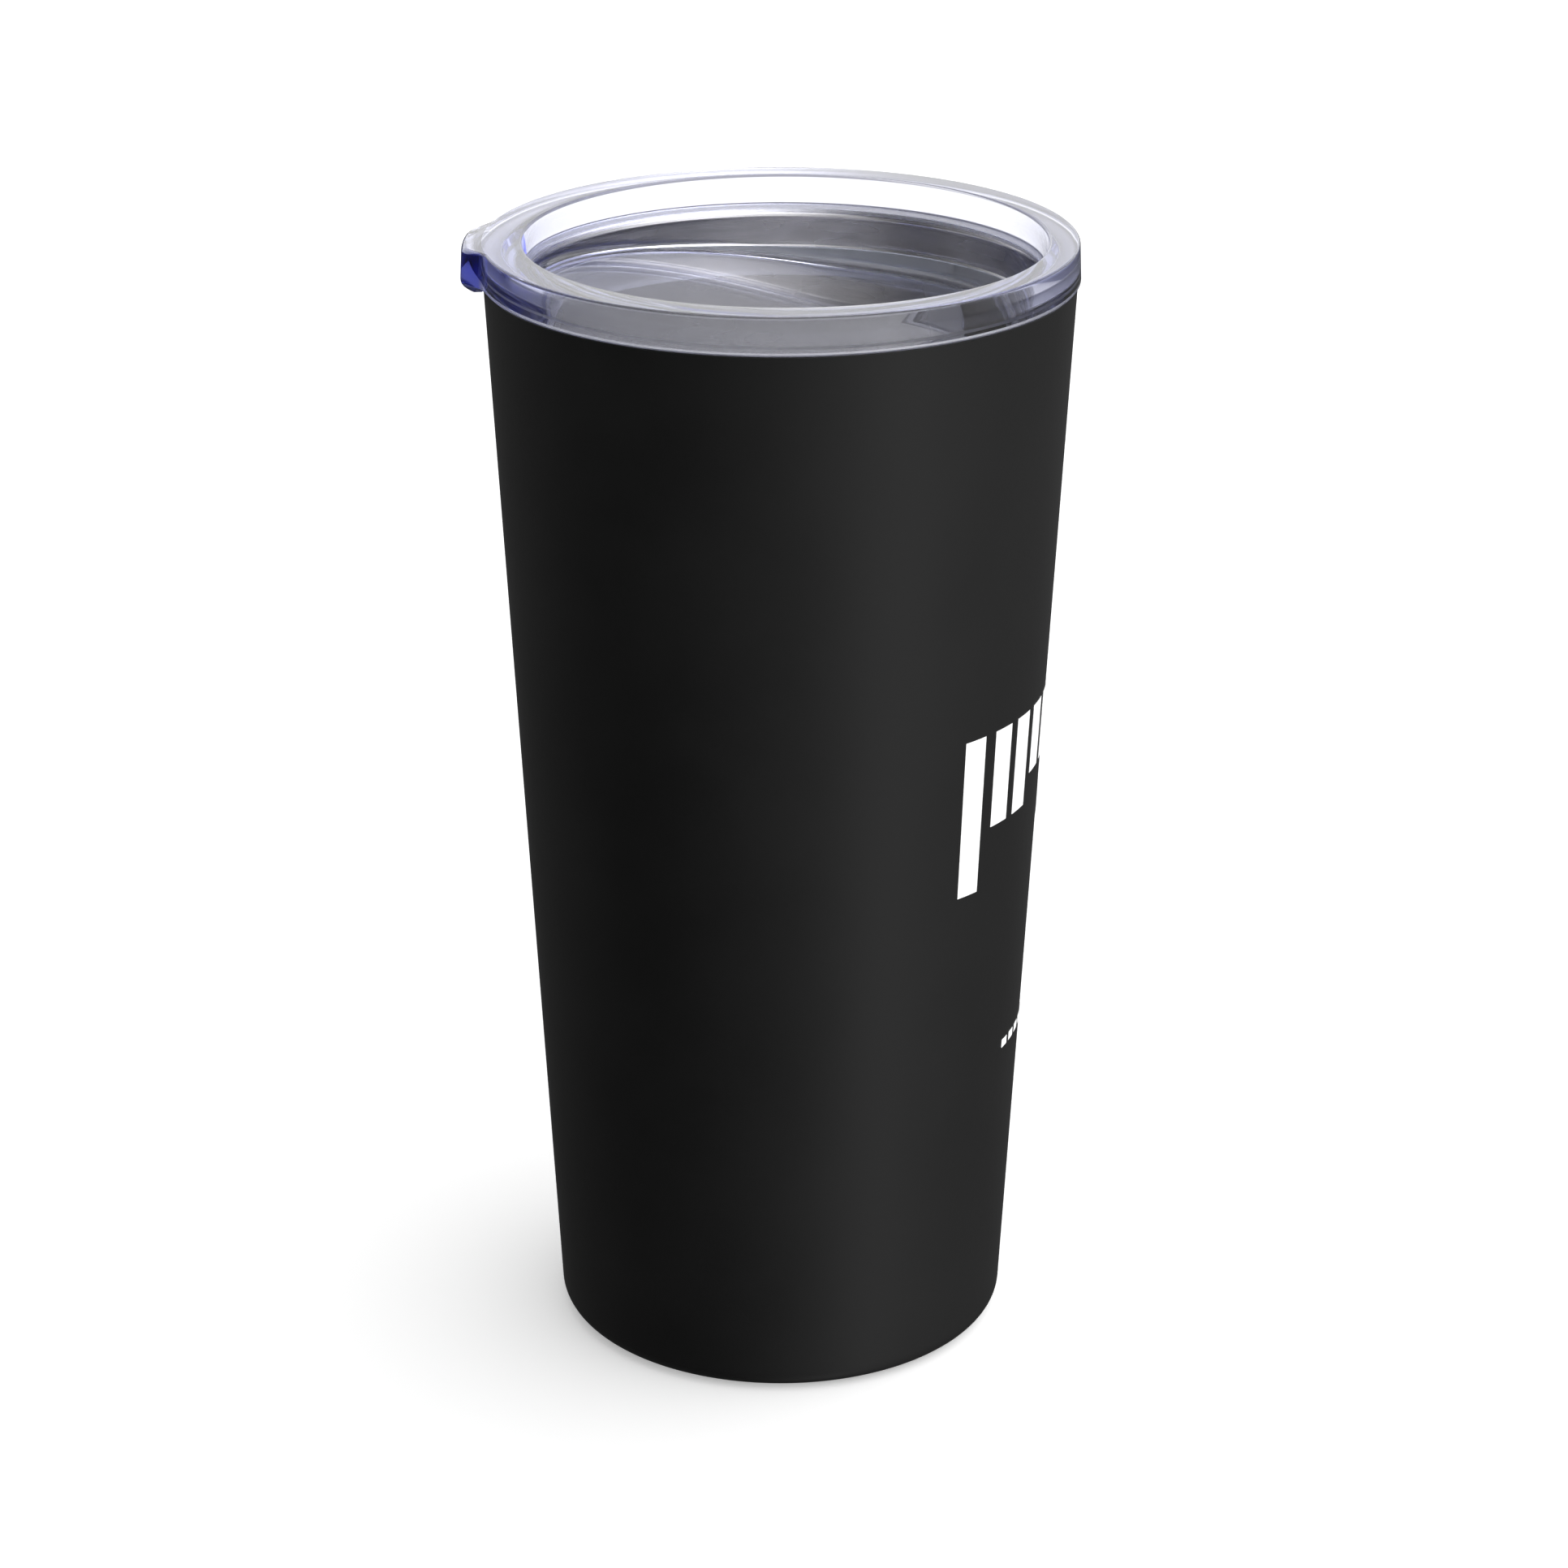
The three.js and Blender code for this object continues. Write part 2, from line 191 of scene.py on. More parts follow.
def section_mesh(name, angles, section_at, first_pole=None, last_pole=None):
    """Mesh through one (r, z) section per azimuth. With two pole heights the sections run from pole
    to pole on the axis; without them each section closes on itself."""
    sections = [section_at(a) for a in angles]
    rows = len(sections[0])
    columns = len(angles)
    vertices = [(r * math.cos(a), r * math.sin(a), z) for a, s in zip(angles, sections) for r, z in s]
    closed = first_pole is None
    pole = len(vertices)
    if not closed:
        vertices += [(0, 0, first_pole), (0, 0, last_pole)]
    faces = []
    for column in range(columns):
        here = column * rows
        after = (column + 1) % columns * rows
        if not closed:
            faces.append((pole, here, after))
            faces.append((here + rows - 1, pole + 1, after + rows - 1))
        for row in range(rows if closed else rows - 1):
            up = (row + 1) % rows
            faces.append((here + row, here + up, after + up, after + row))
    return make_object(name, vertices, faces)


def even_angles(count):
    return [2 * math.pi * i / count for i in range(count)]


def lathe(name, profile):
    """Spins a profile that runs anticlockwise in the (radius, height) plane. A profile that starts and
    ends on the axis gets a pole at each end."""
    if profile[0][0] == 0 and profile[-1][0] == 0:
        inner = profile[1:-1]
        return section_mesh(name, even_angles(SEGMENTS), lambda a: inner, profile[0][1], profile[-1][1])
    return section_mesh(name, even_angles(SEGMENTS), lambda a: profile)


# ---------------------------------------------------------------- material helpers

class Nodes:
    """Small wrapper that makes shader nodes and links them in one call."""

    def __init__(self, name):
        self.material = bpy.data.materials.new(name)
        self.material.use_nodes = True
        self.tree = self.material.node_tree
        self.shader = self.tree.nodes["Principled BSDF"]
        self.output = self.tree.nodes["Material Output"]

    def add(self, kind, settings=None, **inputs):
        """New node. Inputs go by name, with _ for a space, or by number as i0, i1 and so on."""
        node = self.tree.nodes.new(kind)
        for key, value in (settings or {}).items():
            setattr(node, key, value)
        for key, value in inputs.items():
            numbered = key[0] == "i" and key[1:].isdigit()
            self.feed(node.inputs[int(key[1:]) if numbered else key.replace("_", " ")], value)
        return node

    def feed(self, socket, value):
        if isinstance(value, bpy.types.NodeSocket):
            self.tree.links.new(value, socket)
        elif isinstance(value, bpy.types.Node):
            self.tree.links.new(value.outputs[0], socket)
        else:
            socket.default_value = value

    def math(self, operation, a, b=0.0):
        return self.add("ShaderNodeMath", {"operation": operation}, i0=a, i1=b).outputs[0]

    def between(self, value, low, high, out_low=0.0, out_high=1.0, smooth=False):
        kind = "SMOOTHSTEP" if smooth else "LINEAR"
        node = self.add("ShaderNodeMapRange", {"interpolation_type": kind, "clamp": True}, Value=value)
        for key, number in (("From Min", low), ("From Max", high), ("To Min", out_low), ("To Max", out_high)):
            self.feed(node.inputs[key], number)
        return node.outputs[0]

    def noise(self, vector, scale, detail):
        return self.add("ShaderNodeTexNoise", None, Vector=vector, Scale=scale, Detail=detail).outputs[0]

    def place(self):
        """Object coordinates, and their x, y and z in metres."""
        vector = self.add("ShaderNodeTexCoord").outputs["Object"]
        parts = self.add("ShaderNodeSeparateXYZ", None, Vector=vector)
        return vector, parts.outputs[0], parts.outputs[1], parts.outputs[2]

    def round_place(self, turn_scale, radius_scale, height_scale):
        """A vector that runs round the axis: turns, radius and height, each with its own scale. The turn
        is held as a sine and cosine, so that nothing shows where it starts."""
        vector, x, y, z = self.place()
        radius = self.math("SQRT", self.math("ADD", self.math("MULTIPLY", x, x), self.math("MULTIPLY", y, y)))
        safe = self.math("MAXIMUM", radius, 1e-5)
        cos = self.math("MULTIPLY", self.math("DIVIDE", x, safe), turn_scale)
        sin = self.math("MULTIPLY", self.math("DIVIDE", y, safe), turn_scale)
        depth = self.math("ADD", self.math("MULTIPLY", radius, radius_scale), self.math("MULTIPLY", z, height_scale))
        return self.add("ShaderNodeCombineXYZ", None, X=cos, Y=sin, Z=depth).outputs[0]

    def bump(self, height, strength, distance):
        node = self.add("ShaderNodeBump", None, Height=height, Strength=strength, Distance=distance)
        self.feed(self.shader.inputs["Normal"], node)

    def mix_colour(self, factor, first, second):
        node = self.add("ShaderNodeMix", {"data_type": "RGBA"})
        self.feed(node.inputs["Factor"], factor)
        self.feed(node.inputs["A"], first)
        self.feed(node.inputs["B"], second)
        return node.outputs["Result"]

    def set(self, **values):
        for key, value in values.items():
            self.feed(self.shader.inputs[key.replace("_", " ")], value)


def assign(obj, material):
    obj.data.materials.clear()
    obj.data.materials.append(material)


# ---------------------------------------------------------------- materials

def coat_material():
    """Satin black powder coat: faint orange peel, fine grain, slightly uneven gloss."""
    n = Nodes("satin_black_coat")
    vector, x, y, z = n.place()
    peel = n.noise(vector, 900.0, 2.0)
    grain = n.noise(vector, 3600.0, 1.0)
    cloud = n.noise(vector, 45.0, 3.0)
    n.set(Roughness=n.between(cloud, 0.3, 0.7, 0.40, 0.48))
    darker, lighter = (0.0014, 0.0014, 0.0015, 1), (0.0022, 0.0022, 0.0023, 1)
    n.set(Base_Color=n.mix_colour(n.between(cloud, 0.35, 0.65), darker, lighter))
    n.shader.inputs["Specular IOR Level"].default_value = 0.5
    height = n.math("ADD", n.math("MULTIPLY", peel, 0.8), n.math("MULTIPLY", grain, 0.2))
    n.bump(height, 0.22, 0.00006)
    return n.material


STEEL_BUMP = 0.10
POLISHED_BUMP = 0.02
POLISHED_ROUGHNESS = 0.09
POLISH_FADE = 0.8


def steel_material(name, polish_above=None):
    """Bare stainless steel, spun or brushed round the axis. Above polish_above it is buffed bright."""
    n = Nodes(name)
    lines = n.noise(n.round_place(3.0, 2200.0, 2200.0), 1.0, 2.0)
    broad = n.noise(n.round_place(1.5, 260.0, 260.0), 1.0, 2.0)
    vector, x, y, z = n.place()
    smudge = n.noise(vector, 60.0, 3.0)
    rough = n.math("ADD", n.between(broad, 0.3, 0.7, 0.22, 0.28), n.between(smudge, 0.45, 0.75, 0.0, 0.05))
    strength = STEEL_BUMP
    if polish_above is not None:
        polish = n.between(z, polish_above * MM, (polish_above + POLISH_FADE) * MM, smooth=True)
        rough = n.add("ShaderNodeMix", {"data_type": "FLOAT"}, i0=polish, i2=rough, i3=POLISHED_ROUGHNESS).outputs[0]
        strength = n.between(polish, 0.0, 1.0, STEEL_BUMP, POLISHED_BUMP)
    n.set(Metallic=1.0, Roughness=rough)
    n.set(Base_Color=n.mix_colour(n.between(lines, 0.3, 0.7), (0.60, 0.585, 0.555, 1), (0.67, 0.655, 0.62, 1)))
    n.shader.inputs["Anisotropic"].default_value = 0.3
    n.shader.inputs["Anisotropic Rotation"].default_value = 0.25
    n.bump(lines, strength, 0.00001)
    return n.material


CLEAR = (1, 1, 1, 1)
# Painted shade: grey laid all round the flange's outer wall to darken what shows through it.
PAINTED_WALL_SHADE = (0.42, 0.415, 0.395, 1)
TAB_BLUE = (0.08, 0.10, 0.70, 1)
# Painted shade: dark grey laid on the well's lip, the flange's outer top edge and its bottom edge as dark edge lines.
EDGE_SHADE_GREY = (0.10, 0.10, 0.12, 1)
ABSORPTION_COLOUR = (0.15, 0.225, 0.85, 1)
ABSORPTION_DENSITY = 30.0
SEAT_FROSTING = 0.45
PLUG_FROSTING = 0.5

# Where the lid's tints, painted shade and frosting start and end, in metres: first radii, then heights.
WALL_FADE = (0.0440, 0.0441)
TAB_FADE = (0.0446, 0.0450)
LIP_FADE = (0.0392, 0.0400)
PLUG_SIDE_FADE = (0.0365, 0.0369)
CREST_LEVEL = (0.1740, 0.1741)
LIP_LEVEL = (0.1739, 0.1740)
WALL_LEVEL = (0.1737, 0.1740)
TAB_LEVEL = (0.1728, 0.1736)
SEAT_TOP_LEVEL = (0.16885, 0.16895)
HEM_LEVEL = (0.1688, 0.1689)
SEAT_LOW_LEVEL = (0.16845, 0.16855)
PLUG_SIDE_LEVEL = (0.160, 0.161)
PLUG_LEVEL = (0.1579, 0.1583)


def clear_material():
    """Clear moulded plastic that turns bluer with thickness, greyed all round on the flange's outer wall as painted
    shade, and deep blue at the thumb tab. Its sharp edges carry painted dark shade lines, its seat and plug are
    frosted."""
    n = Nodes("clear_lid_plastic")
    vector, x, y, z = n.place()
    haze = n.noise(vector, 120.0, 3.0)
    radius = n.math("SQRT", n.math("ADD", n.math("MULTIPLY", x, x), n.math("MULTIPLY", y, y)))

    def both(first, second):
        return n.math("MULTIPLY", first, second)

    def either(first, second):
        return n.math("MAXIMUM", first, second)

    def beyond(value, fade):
        return n.between(value, *fade)

    def short_of(value, fade):
        return n.between(value, *fade, 1.0, 0.0)

    outer = beyond(radius, WALL_FADE)
    # Painted shade: the flange's outer wall, below its top edge, is greyed all round.
    tint_and_painted_shade = n.mix_colour(both(outer, short_of(z, WALL_LEVEL)), CLEAR, PAINTED_WALL_SHADE)
    tint_and_painted_shade = n.mix_colour(both(beyond(radius, TAB_FADE), short_of(z, TAB_LEVEL)), tint_and_painted_shade, TAB_BLUE)
    # Painted shade: dark lines on the well's lip, the flange's outer top edge and the flange's bottom edge.
    lip = both(short_of(radius, LIP_FADE), beyond(z, LIP_LEVEL))
    crest = both(outer, beyond(z, CREST_LEVEL))
    hem = both(outer, short_of(z, HEM_LEVEL))
    tint_and_painted_shade = n.mix_colour(either(either(lip, crest), hem), tint_and_painted_shade, EDGE_SHADE_GREY)
    seat = both(short_of(z, SEAT_TOP_LEVEL), beyond(z, SEAT_LOW_LEVEL))
    plug = either(short_of(z, PLUG_LEVEL), both(beyond(radius, PLUG_SIDE_FADE), short_of(z, PLUG_SIDE_LEVEL)))
    frosting = either(both(seat, SEAT_FROSTING), both(plug, PLUG_FROSTING))
    n.set(Base_Color=tint_and_painted_shade, Roughness=n.math("ADD", n.between(haze, 0.4, 0.8, 0.004, 0.02), frosting))
    n.shader.inputs["Transmission Weight"].default_value = 1.0
    n.shader.inputs["IOR"].default_value = 1.5
    absorb = n.add("ShaderNodeVolumeAbsorption")
    absorb.inputs["Color"].default_value = ABSORPTION_COLOUR
    absorb.inputs["Density"].default_value = ABSORPTION_DENSITY
    n.tree.links.new(absorb.outputs[0], n.output.inputs["Volume"])
    return n.material


def silicone_material():
    """Milky silicone with a faint dusting."""
    n = Nodes("silicone")
    vector, x, y, z = n.place()
    dust = n.noise(vector, 800.0, 3.0)
    n.set(Base_Color=n.mix_colour(dust, (0.72, 0.75, 0.78, 1), (0.80, 0.82, 0.84, 1)))
    n.set(Roughness=n.between(dust, 0.3, 0.7, 0.42, 0.58))
    n.shader.inputs["Transmission Weight"].default_value = 0.55
    n.shader.inputs["IOR"].default_value = 1.41
    n.bump(dust, 0.15, 0.00005)
    return n.material


def print_material():
    """White pad-printed ink with a faint broken edge to its gloss."""
    n = Nodes("white_print")
    vector, x, y, z = n.place()
    grain = n.noise(vector, 1500.0, 2.0)
    n.set(Base_Color=n.mix_colour(n.between(grain, 0.35, 0.65), (0.86, 0.86, 0.86, 1), (0.93, 0.93, 0.93, 1)))
    n.set(Roughness=n.between(grain, 0.3, 0.7, 0.42, 0.55))
    n.bump(grain, 0.2, 0.00003)
    return n.material


def hidden_material(name, colour, metallic, roughness, scale):
    """For the pieces sealed inside the vacuum: a mottled, slightly uneven surface."""
    n = Nodes(name)
    vector, x, y, z = n.place()
    mottle = n.noise(vector, scale, 4.0)
    darker = tuple(c * 0.8 for c in colour) + (1,)
    n.set(Base_Color=n.mix_colour(mottle, darker, colour + (1,)), Metallic=metallic)
    n.set(Roughness=n.between(mottle, 0.3, 0.7, roughness - 0.06, roughness + 0.06))
    n.bump(mottle, 0.25, 0.00008)
    return n.material


# ---------------------------------------------------------------- the cup

def build_shell():
    corner_r = SHELL_FOOT_R - SHELL_CORNER
    lean = math.atan(SHELL_TAPER) / DEG
    edge = 0.25
    profile = [(SHELL_HEM_R, 0.0)]
    profile += arc(corner_r, SHELL_CORNER, SHELL_CORNER, -90, -lean, 12)
    top_z = SEAT_Z - SEAT_GAP
    profile += line(profile[-1], (shell_r(top_z - edge), top_z - edge), 24)
    profile += arc(shell_r(top_z) - edge, top_z - edge, edge, 15, 180, 6)
    inner_r = corner_r + SHELL_CORNER - SHEET
    profile += line(profile[-1], (inner_r, SHELL_CORNER), 12)[:-1]
    profile += arc(corner_r, SHELL_CORNER, SHELL_CORNER - SHEET, 0, -90, 8)
    profile += [(SHELL_HEM_R, SHEET)]
    obj = lathe("shell_coat", profile)
    assign(obj, coat_material())
    return obj


def build_liner(material):
    lean = math.atan(LINER_TAPER) / DEG
    corner_z = LINER_FLOOR_Z + LINER_CORNER
    corner_r = liner_r(corner_z) - LINER_CORNER / math.cos(lean * DEG)
    lip_r = LINER_MOUTH_R + LINER_LIP
    profile = [(0, LINER_FLOOR_Z - SHEET)]
    profile += arc(corner_r, corner_z, LINER_CORNER + SHEET, -90, -lean, 10)
    profile += arc(lip_r, LINER_MOUTH_Z, LINER_LIP - SHEET, 180, 90, 6)
    edge = 0.2
    lip_end = shell_r(SEAT_Z) - SHEET - 0.02 - edge
    profile += line(profile[-1], (lip_end, LINER_MOUTH_Z + LINER_LIP - 2 * edge), 2)
    profile += arc(lip_end, LINER_MOUTH_Z + LINER_LIP - edge, edge, 0, 90, 4)
    profile += arc(lip_r, LINER_MOUTH_Z, LINER_LIP, 90, 180, 14)[1:]
    wall = line(profile[-1], (liner_r(corner_z), corner_z), 30)[:-1]
    profile += wall
    profile += arc(corner_r, corner_z, LINER_CORNER, -lean, -90, 16)
    profile += line(profile[-1], (3.0, LINER_FLOOR_Z), 8)
    profile += [(0, LINER_FLOOR_Z)]
    obj = lathe("liner_steel", profile)
    assign(obj, material)
    return obj


def build_cover(material):
    """Spun base disc with shallow concentric rings."""
    edge = 0.25
    rings = [(26.5, 0.9), (22.0, 0.6)]
    profile = [(0, 0.0), (18.0, 0.0)]
    steps = 8
    for middle, half in sorted(rings):
        for i in range(steps + 1):
            t = i / steps
            dip = 0.18 * math.sin(math.pi * t) ** 2
            profile.append((middle - half + 2 * half * t, dip))
    profile += arc(COVER_R - edge, edge, edge, -90, 0, 4)
    profile += [(COVER_R, COVER_TOP_Z), (0, COVER_TOP_Z)]
    obj = lathe("base_disc", profile)
    assign(obj, material)
    return obj


# ---------------------------------------------------------------- the lid

def tab_weight(angle):
    """How far the flange has swollen into the thumb tab at an azimuth, from 0 to 1."""
    if math.cos(angle) > 0:
        return 0.0
    return 1 - smoothstep(TAB_FULL_Y, TAB_END_Y, abs(LID_LOW_R * math.sin(angle)))


def hang_weight(angle):
    if math.cos(angle) > 0:
        return 0.0
    return 1 - smoothstep(TAB_HANG_FULL_Y, TAB_HANG_END_Y, abs(LID_LOW_R * math.sin(angle)))


def lid_section(angle):
    """The lid's section at one azimuth: floor, well wall, flange, thumb tab, plug, groove, underside."""
    def floor_at(r):
        return lid_floor(r * math.cos(angle))

    swell = tab_weight(angle)
    hang = hang_weight(angle)
    crest_r = LID_TOP_R + TAB_REACH * swell
    rim_r = LID_LOW_R + TAB_REACH * swell
    foot_r = well_r(angle, floor_at(WELL_LOW_R) + WELL_FILLET)
    fillet_r = foot_r - WELL_FILLET
    floor_radii = [i * (fillet_r - 0.6) / 14 for i in range(1, 15)]
    points = [(r, floor_at(r)) for r in floor_radii]
    points += [(fillet_r + r, floor_at(fillet_r + r) + z) for r, z in arc(0, WELL_FILLET, WELL_FILLET, -90, 0, 10)]
    lip_z = LID_TOP_Z - WELL_LIP
    lip_r = well_distance(angle, WELL_TOP_R + WELL_LIP)
    points += line(points[-1], (lip_r - WELL_LIP, lip_z), 6)[:-1]
    points += arc(lip_r, lip_z, WELL_LIP, 180, 90, 8)
    points += line(points[-1], (LID_TOP_R - TOP_EDGE, LID_TOP_Z), 3)
    edge = TOP_EDGE + 0.55 * swell
    drop = TAB_TOP_DROP * swell
    points += line(points[-1], (crest_r - edge + 1e-3, LID_TOP_Z - drop), 4)
    points += arc(crest_r - edge, LID_TOP_Z - drop - edge, edge, 84, 0, 6)
    inner_r = TAB_INNER_R * hang + (LID_LOW_R - SEAT_EDGE - 0.3) * (1 - hang)
    low_z = SEAT_Z + (TAB_HANG_Z - SEAT_Z) * hang
    low_edge = SEAT_EDGE + (0.42 * max(rim_r - inner_r, 0.6) - SEAT_EDGE) * hang
    points += line(points[-1], (rim_r, low_z + low_edge), 4)[:-1]
    points += arc(rim_r - low_edge, low_z + low_edge, low_edge, 0, -90, 6)
    points += line(points[-1], (inner_r, low_z), 2)
    points += line(points[-1], (inner_r - 0.02, SEAT_Z), 2)
    points += line(points[-1], (plug_r(SEAT_Z) + 0.3, SEAT_Z), 3)
    points += arc(plug_r(SEAT_Z) + 0.3, SEAT_Z - 0.3, 0.3, 90, 180, 4)[1:]
    points += line(points[-1], (plug_r(GROOVE_HIGH_Z), GROOVE_HIGH_Z), 4)
    points += [(GROOVE_R, GROOVE_HIGH_Z), (GROOVE_R, GROOVE_LOW_Z), (plug_r(GROOVE_LOW_Z), GROOVE_LOW_Z)]
    points += line(points[-1], (plug_r(PLUG_BOTTOM_Z), PLUG_BOTTOM_Z + PLUG_EDGE), 2)[:-1]
    points += arc(plug_r(PLUG_BOTTOM_Z) - PLUG_EDGE, PLUG_BOTTOM_Z + PLUG_EDGE, PLUG_EDGE, 0, -90, 4)
    points += [(PLUG_INNER_R + 0.3, PLUG_BOTTOM_Z), (PLUG_INNER_R, PLUG_BOTTOM_Z + 0.2)]
    under_r = PLUG_INNER_R - UNDER_FILLET
    points += [
        (under_r + r, floor_at(under_r + r) - FLOOR_THICKNESS + z)
        for r, z in arc(0, -UNDER_FILLET, UNDER_FILLET, 0, 90, 6)
    ]
    points += [(r, floor_at(r) - FLOOR_THICKNESS) for r in reversed([i * (under_r - 0.5) / 14 for i in range(1, 15)])]
    return points


def lid_angles():
    """Azimuths of the lid's columns, finer round the thumb tab."""
    coarse = 1.25
    fine = 0.25
    degrees = []
    angle = 0.0
    while angle < 360 - 1e-6:
        degrees.append(angle)
        angle += fine if 164 <= angle < 196 else coarse
    return [d * DEG for d in degrees]


def flared_cutter(name, outline_at, low_z, top_z, flare):
    """Closed cutter whose outline_at(offset) widens as it nears top_z, which leaves a rounded edge."""
    levels = [(0.0, low_z)]
    steps = 6
    for i in range(steps + 1):
        a = 90 * i / steps * DEG
        levels.append((flare * (1 - math.cos(a)), top_z - flare + flare * math.sin(a)))
    levels.append((flare, top_z + 3.0))
    rings = [[(x, y, z) for x, y in outline_at(offset)] for offset, z in levels]
    count = len(rings[0])
    vertices = [v for ring in rings for v in ring]
    faces = [tuple(reversed(range(count))), tuple(range(len(vertices) - count, len(vertices)))]
    for level in range(len(rings) - 1):
        for i in range(count):
            j = (i + 1) % count
            faces.append((level * count + i, level * count + j, (level + 1) * count + j, (level + 1) * count + i))
    return make_object(name, vertices, faces)


def slot_outline(offset):
    """Curved slot with round ends, concentric with the lid, grown by offset."""
    half = DRINK_HALF_ANGLE * DEG
    width = DRINK_HALF_WIDTH + offset
    points = []
    for i in range(17):
        a = -half + 2 * half * i / 16
        points.append(((DRINK_MIDDLE_R + width) * math.cos(a), (DRINK_MIDDLE_R + width) * math.sin(a)))
    for end, start in ((half, half), (-half, -half + math.pi)):
        cx = DRINK_MIDDLE_R * math.cos(end)
        cy = DRINK_MIDDLE_R * math.sin(end)
        for i in range(1, 16):
            a = start + math.pi * i / 16
            points.append((cx + width * math.cos(a), cy + width * math.sin(a)))
        if end > 0:
            for i in range(17):
                a = half - 2 * half * i / 16
                points.append(((DRINK_MIDDLE_R - width) * math.cos(a), (DRINK_MIDDLE_R - width) * math.sin(a)))
    return points


def vent_outline(offset):
    cx = VENT_DISTANCE * math.cos(VENT_ANGLE * DEG)
    cy = VENT_DISTANCE * math.sin(VENT_ANGLE * DEG)
    r = VENT_R + offset
    return [(cx + r * math.cos(a), cy + r * math.sin(a)) for a in even_angles(32)]


def cut(obj, cutters):
    """Cuts the cutters out of obj for good, and removes them."""
    for cutter in cutters:
        modifier = obj.modifiers.new("cut", "BOOLEAN")
        modifier.operation = "DIFFERENCE"
        modifier.solver = "EXACT"
        modifier.object = cutter
    bpy.context.view_layer.update()
    graph = bpy.context.evaluated_depsgraph_get()
    mesh = bpy.data.meshes.new_from_object(obj.evaluated_get(graph))
    obj.modifiers.clear()
    old = obj.data
    obj.data = mesh
    bpy.data.meshes.remove(old)
    mesh.name = obj.name
    mesh.polygons.foreach_set("use_smooth", [True] * len(mesh.polygons))
    mesh.set_sharp_from_angle(angle=SHARP_ANGLE * DEG)
    for cutter in cutters:
        bpy.data.objects.remove(cutter)


def build_lid():
    centre = lid_floor(0)
    obj = section_mesh("lid_clear", lid_angles(), lid_section, centre, centre - FLOOR_THICKNESS)
    vent_x = VENT_DISTANCE * math.cos(VENT_ANGLE * DEG)
    cut(obj, [
        flared_cutter("slot_cutter", slot_outline, FLOOR_Z - CUT_DEPTH, FLOOR_Z + 0.02, DRINK_EDGE),
        flared_cutter("vent_cutter", vent_outline, lid_floor(vent_x) - CUT_DEPTH, lid_floor(vent_x) + 0.25, VENT_EDGE),
    ])
    assign(obj, clear_material())
    return obj


def build_gasket():
    def fin_r(z):
        return liner_r(z) - GASKET_FIN_GAP

    low, high = GASKET_LOW_Z, GASKET_HIGH_Z
    profile = [(GASKET_INNER_R, low), (GASKET_CORE_R, low)]
    for start in (low + 0.3, low + 1.8):
        profile += arc(fin_r(start) - 0.15, start + 0.15, 0.15, -90, 90, 6)
        profile.append((GASKET_CORE_R, start + 0.75))
    profile += [(GASKET_CORE_R, high), (GASKET_INNER_R, high)]
    obj = lathe("seal_ring", profile)
    assign(obj, silicone_material())
    return obj


# ---------------------------------------------------------------- printed decoration

PRINT_LOW_Z = 80.5
PRINT_HIGH_Z = 105.8
PRINT_LIFT = 0.03
PRINT_THICKNESS = 0.04
PRINT_STEP = 0.5
BAR_WIDTH = 4.3
BARS = [(31.35, 25.3), (24.6, 15.5), (18.4, 15.5), (12.2, 11.0), (6.0, 11.0)]
LOZENGE_Z = 86.0
LOZENGE_REACH = 4.5
NOTE_Z = 50.4
NOTE_COUNT = 11
NOTE_START = -17.6
NOTE_PITCH = 3.3
NOTE_DASH = 2.2
NOTE_HALF_HEIGHT = 0.7


def flat(height):
    """A height that is the same all the way along a shape."""
    return lambda s: height


def print_bands():
    """Shapes of the decoration as (start, end, low, high); s runs round the cup in millimetres, 0 at +X.
    Bars hang from one line, long at both ends and short in the middle, with a small lozenge below."""
    bands = []
    for middle, length in BARS:
        for side in (-1, 1):
            start = side * middle - BAR_WIDTH / 2
            bands.append((start, start + BAR_WIDTH, flat(PRINT_HIGH_Z - length), flat(PRINT_HIGH_Z)))
    reach = LOZENGE_REACH

    def lozenge(sign):
        return lambda s: LOZENGE_Z + sign * (reach - abs(s))

    bands.append((-reach, reach, lozenge(-1), lozenge(1)))
    for i in range(NOTE_COUNT):
        start = NOTE_START + i * NOTE_PITCH
        bands.append((start, start + NOTE_DASH, flat(NOTE_Z - NOTE_HALF_HEIGHT), flat(NOTE_Z + NOTE_HALF_HEIGHT)))
    return bands


def build_print():
    """Thin printed layer that follows the cone: one closed strip for each run where a shape has height."""
    vertices = []
    faces = []
    reference_r = shell_r((PRINT_LOW_Z + PRINT_HIGH_Z) / 2)

    def corner(s, z, lift):
        a = s / reference_r
        r = shell_r(z) + lift
        return (r * math.cos(a), r * math.sin(a), z)

    def close_run(run):
        if len(run) < 2:
            return
        base = len(vertices)
        for s, low, high in run:
            for z, lift in ((low, 0), (high, 0), (high, 1), (low, 1)):
                vertices.append(corner(s, z, PRINT_LIFT + lift * PRINT_THICKNESS))
        for i in range(len(run) - 1):
            a, b = base + 4 * i, base + 4 * (i + 1)
            for j in range(4):
                k = (j + 1) % 4
                faces.append((a + k, a + j, b + j, b + k))
        last = base + 4 * (len(run) - 1)
        faces.append((base, base + 1, base + 2, base + 3))
        faces.append((last + 3, last + 2, last + 1, last))

    smallest = 0.02
    for start, end, low_at, high_at in print_bands():
        steps = max(2, round((end - start) / PRINT_STEP))
        run = []
        for i in range(steps + 1):
            s = start + (end - start) * i / steps
            low, high = low_at(s), high_at(s)
            if high - low > smallest:
                run.append((s, low, high))
            else:
                close_run(run)
                run = []
        close_run(run)
    obj = make_object("print_motif", vertices, faces, 20.0)
    assign(obj, print_material())
    return obj


# ---------------------------------------------------------------- assembly

def attach(obj, body, slot, *nodes):
    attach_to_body(obj, body)
    if nodes:
        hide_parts(*nodes)


